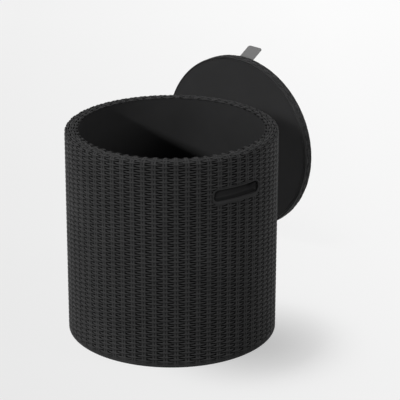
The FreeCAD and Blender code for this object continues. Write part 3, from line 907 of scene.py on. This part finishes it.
def calculated(tree, operation, *values):
    made = node(tree, "ShaderNodeMath", operation=operation)
    for value, socket in zip(values, made.inputs):
        join(tree, value, socket)
    return made.outputs[0]


def mixed(tree, share, first, second, blend="MIX"):
    """Mix of two colours."""
    made = node(tree, "ShaderNodeMix", data_type="RGBA", blend_type=blend)
    for place, value in ((0, share), (6, first), (7, second)):
        join(tree, value, made.inputs[place])
    return made.outputs[2]


def scaled(colour, share):
    return (*(c * share for c in colour), 1.0)


def rays_that_see(tree):
    """1 for rays of the camera, gloss and glass, and 0 for light from a matt surface."""
    rays = tree.nodes.new("ShaderNodeLightPath")
    shown = rays.outputs["Is Camera Ray"]
    for kind in ("Is Glossy Ray", "Is Transmission Ray"):
        shown = calculated(tree, "MAXIMUM", shown, rays.outputs[kind])
    return shown


# Materials

def finish_material(name, colour, roughness, spread=0.12, grain=900.0, bump=0.1, metallic=0.0,
                    specular=0.1, woven=False, painted_gap_shade=0.0, wear=0.25):
    """Moulded or drawn surface: mottled colour, uneven sheen, fine grain and light wear.

    A woven one has painted shade that darkens its gaps, and its grain runs along the strands.
    """
    material = bpy.data.materials.new(name)
    material.use_nodes = True
    tree = material.node_tree
    shader = tree.nodes["Principled BSDF"]
    shader.inputs["Metallic"].default_value = metallic
    shader.inputs["Specular IOR Level"].default_value = specular
    place = texture_place(tree)
    patches = node(tree, "ShaderNodeTexNoise", Scale=MOTTLING, Detail=4.0, Roughness=0.6,
                   Vector=place)
    tint = node(tree, "ShaderNodeValToRGB")
    darkest, lightest = tint.color_ramp.elements
    darkest.position = 0.3
    darkest.color = scaled(colour, 1.0 - spread)
    lightest.position = 0.7
    lightest.color = scaled(colour, 1.0 + spread)
    join(tree, patches.outputs["Fac"], tint.inputs["Fac"])
    scuffs = node(tree, "ShaderNodeTexNoise", Scale=SCUFFS, Detail=6.0, Roughness=0.75,
                  Vector=place)
    worn = map_range(tree, scuffs.outputs["Fac"], SCUFFS_START, SCUFFS_FULL, 0.0, wear)
    shown = mixed(tree, worn, tint.outputs["Color"], scaled(colour, SCUFFED))
    grain_place = place
    if woven:
        # Painted shade: the points' shade, in the attribute named depth, darkens the weave's gaps
        # and dips.
        depth = node(tree, "ShaderNodeAttribute", attribute_name="depth")
        painted_darkening = map_range(tree, depth.outputs["Fac"], PAINTED_SHADE_START, PAINTED_SHADE_FULL, 1.0, painted_gap_shade,
                         smooth=True)
        shown = mixed(tree, 1.0, shown, painted_darkening, blend="MULTIPLY")
        lay = node(tree, "ShaderNodeAttribute", attribute_name="lay")
        stretch = node(tree, "ShaderNodeMapping", Scale=GRAIN_STRETCH, Vector=lay.outputs["Vector"])
        grain_place = stretch.outputs["Vector"]
    join(tree, shown, shader.inputs["Base Color"])
    fine = node(tree, "ShaderNodeTexNoise", Scale=grain, Detail=3.0, Roughness=0.6,
                Vector=grain_place)
    sheen = map_range(tree, scuffs.outputs["Fac"], 0.0, 1.0,
                      roughness - UNEVEN_SHEEN, roughness + UNEVEN_SHEEN)
    join(tree, sheen, shader.inputs["Roughness"])
    relief = node(tree, "ShaderNodeBump", Strength=bump, Distance=GRAIN_HEIGHT,
                  Height=fine.outputs["Fac"])
    join(tree, relief.outputs["Normal"], shader.inputs["Normal"])
    return material


def cup_material(name, colour):
    """Resin of the grips' pockets, with a painted highlight: lighter along the bottom."""
    material = finish_material(name, colour, 0.55, spread=0.1, grain=1500.0, bump=0.12,
                               specular=0.04)
    tree = material.node_tree
    base = tree.nodes["Principled BSDF"].inputs["Base Color"]
    shown = base.links[0].from_socket
    height = axes_of(tree, texture_place(tree))["Z"]
    # Painted highlight: the resin is painted lighter along the pocket's bottom.
    painted_lip_light = map_range(tree, height, PAINTED_LIP_LOW, PAINTED_LIP_HIGH, 1.0, 0.0, smooth=True)
    join(tree, mixed(tree, painted_lip_light, shown, scaled(colour, PAINTED_LIP_LIGHT)), base)
    return material


def foam_material(name, colour):
    """Bead foam: round cells a few millimetres across, pressed together."""
    material = finish_material(name, colour, 0.9, spread=0.05, grain=400.0, bump=0.05, wear=0.1)
    tree = material.node_tree
    beads = node(tree, "ShaderNodeTexVoronoi", Scale=BEADS, Vector=texture_place(tree))
    relief = node(tree, "ShaderNodeBump", Strength=BEAD_BUMP, Distance=BEAD_HEIGHT, invert=True,
                  Height=beads.outputs["Distance"])
    join(tree, relief.outputs["Normal"], tree.nodes["Principled BSDF"].inputs["Normal"])
    return material


def floor_material():
    """Pale floor that takes the shadows near the drum and pales out further off.

    Its colour falls off with distance from the drum, and light of its own, which only
    the camera, gloss and glass see, makes up the difference.
    """
    material = bpy.data.materials.new("floor_pale")
    material.use_nodes = True
    tree = material.node_tree
    shader = tree.nodes["Principled BSDF"]
    shader.inputs["Roughness"].default_value = 0.9
    shader.inputs["Specular IOR Level"].default_value = 0.0
    turn = node(tree, "ShaderNodeMapping", Rotation=(0.0, 0.0, math.radians(-PHOTO_SIDE)),
                Vector=texture_place(tree)).outputs["Vector"]
    axes = axes_of(tree, turn)
    # Painted light: the glow's level rises to the right and further back.
    across = map_range(tree, axes["X"], *FLOOR_SPAN,
                       FLOOR_LEVEL - FLOOR_SIDE_CHANGE, FLOOR_LEVEL + FLOOR_SIDE_CHANGE)
    depth = map_range(tree, axes["Y"], *FLOOR_DEPTH, 0.0, FLOOR_DEPTH_CHANGE)
    level = calculated(tree, "ADD", across, depth)
    distance = node(tree, "ShaderNodeVectorMath", operation="DISTANCE")
    join(tree, turn, distance.inputs[0])
    join(tree, SHADOW_PLACE, distance.inputs[1])
    share = map_range(tree, distance.outputs["Value"], 0.0, SHADOW_REACH, SHADOWS_NEAR, SHADOWS_FAR,
                      smooth=True)
    seen = rays_that_see(tree)
    left = calculated(tree, "SUBTRACT", level, calculated(tree, "MULTIPLY", share, FLOOR_LIT))
    glow = node(tree, "ShaderNodeEmission", Color=(1.0, 1.0, 1.0, 1.0),
                Strength=calculated(tree, "MULTIPLY", seen, left))
    kept = node(tree, "ShaderNodeMix", data_type="FLOAT")
    for place, value in ((0, seen), (2, FLOOR_WHITE_UNSEEN), (3, share)):
        join(tree, value, kept.inputs[place])
    white = calculated(tree, "MULTIPLY", kept.outputs[0], FLOOR_WHITE)
    join(tree, white, shader.inputs["Base Color"])
    both = tree.nodes.new("ShaderNodeAddShader")
    join(tree, shader.outputs[0], both.inputs[0])
    join(tree, glow.outputs[0], both.inputs[1])
    join(tree, both.outputs[0], tree.nodes["Material Output"].inputs["Surface"])
    return material


def floor_piece():
    mesh = bpy.data.meshes.new("floor")
    side = FLOOR_HALF_SIDE
    corners = [(-side, -side, 0), (side, -side, 0), (side, side, 0), (-side, side, 0)]
    mesh.from_pydata(corners, [], [(0, 1, 2, 3)])
    floor = new_object("floor", mesh)
    floor.data.materials.append(floor_material())
    return floor


def dress(piece, material):
    piece.data.materials.clear()
    piece.data.materials.append(material)


def dress_node(name, material):
    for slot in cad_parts[name].material_slots:
        slot.material = material


place_camera()
floor = floor_piece()

# The lid's weave takes a lighter painted shade in its gaps than the drum's.
wicker = finish_material("wicker_graphite", GRAPHITE, 0.5, spread=0.14, grain=2600.0, bump=0.25,
                         specular=0.05, woven=True)
lid_wicker = finish_material("lid_wicker_graphite", LID_GRAPHITE, 0.5, spread=0.1, grain=2600.0,
                             bump=0.2, specular=0.05, woven=True, painted_gap_shade=0.55)
smooth = finish_material("resin_graphite", SMOOTH_GRAPHITE, 0.52, spread=0.08, grain=1500.0,
                         bump=0.12, specular=0.05)
tub_inside = finish_material("tub_graphite", TUB_GRAPHITE, 0.45, spread=0.08, grain=1300.0,
                             bump=0.08)
cup_inside = cup_material("cup_graphite_painted_light", CUP_GRAPHITE_PAINTED_SHADE)
lid_face = finish_material("lid_graphite", LID_GRAPHITE, 0.5, spread=0.06, grain=1600.0, bump=0.08,
                           wear=0.12, specular=0.05)
base_finish = finish_material("base_graphite", BASE_GRAPHITE, 0.6, grain=1100.0, bump=0.2)
rubber = finish_material("foot_rubber", (0.02, 0.02, 0.02), 0.8, grain=1200.0, bump=0.2)
seal = finish_material("seal_rubber", (0.015, 0.015, 0.015), 0.7, grain=1500.0, bump=0.1)
drain = finish_material("drain_resin", (0.05, 0.05, 0.052), 0.45, grain=1300.0, bump=0.1)
plug = finish_material("plug_resin", (0.06, 0.06, 0.062), 0.45, grain=1300.0, bump=0.1)
steel = finish_material("screw_steel", (0.55, 0.55, 0.56), 0.35, metallic=1.0, grain=1800.0,
                        bump=0.05)
aluminium = finish_material("rivet_aluminium", (0.6, 0.6, 0.61), 0.4, metallic=1.0, grain=1800.0,
                            bump=0.05)
tab_finish = finish_material("tab_grey", (0.178, 0.178, 0.178), 0.6, spread=0.05, grain=1400.0,
                             bump=0.12, wear=0.08)
foam = foam_material("bead_foam", (0.82, 0.82, 0.80))

wall, rim = drum_weave()
dress(wall, wicker)
dress(rim, wicker)
scoops = []
for side in ("right", "left"):
    dress(grip_frame(side), smooth)
    scoops.append(grip_scoop(side))
    dress(scoops[-1], cup_inside)
lid_edge = lid_weave()
dress(lid_edge, lid_wicker)
lid_top = lid_table()
dress(lid_top, lid_face)
dress(pull_strip(), tab_finish)

for names, material in (
        (("inner_tub",), tub_inside),
        (("wall_foam", "floor_foam", "lid_foam"), foam),
        (("base_plate",), base_finish),
        (("base_screws",), steel),
        (("foot_1", "foot_2", "foot_3", "foot_4", "foot_5"), rubber),
        (("drain_bushing", "drain_nut"), drain),
        (("drain_gasket", "plug_seal"), seal),
        (("drain_plug",), plug),
        (("lid_panel", "tab_clamp"), lid_face),
        (("tab_rivets",), aluminium)):
    for name in names:
        dress_node(name, material)

plain_world()
lamps = {name: area_light(name, towards(*direction), (0.0, 0.0, height), distance, size, power)
         for name, direction, height, distance, size, power in LAMPS}
lit_from_front = [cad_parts["lid_panel"], lid_edge, lid_top, *scoops]
aim_light(lamps["key"], [floor] + lit_from_front, "EXCLUDE")
aim_light(lamps["front_key"], lit_from_front, "INCLUDE")
aim_light(lamps["back"], [floor], "EXCLUDE")
lamps["back"].visible_glossy = False
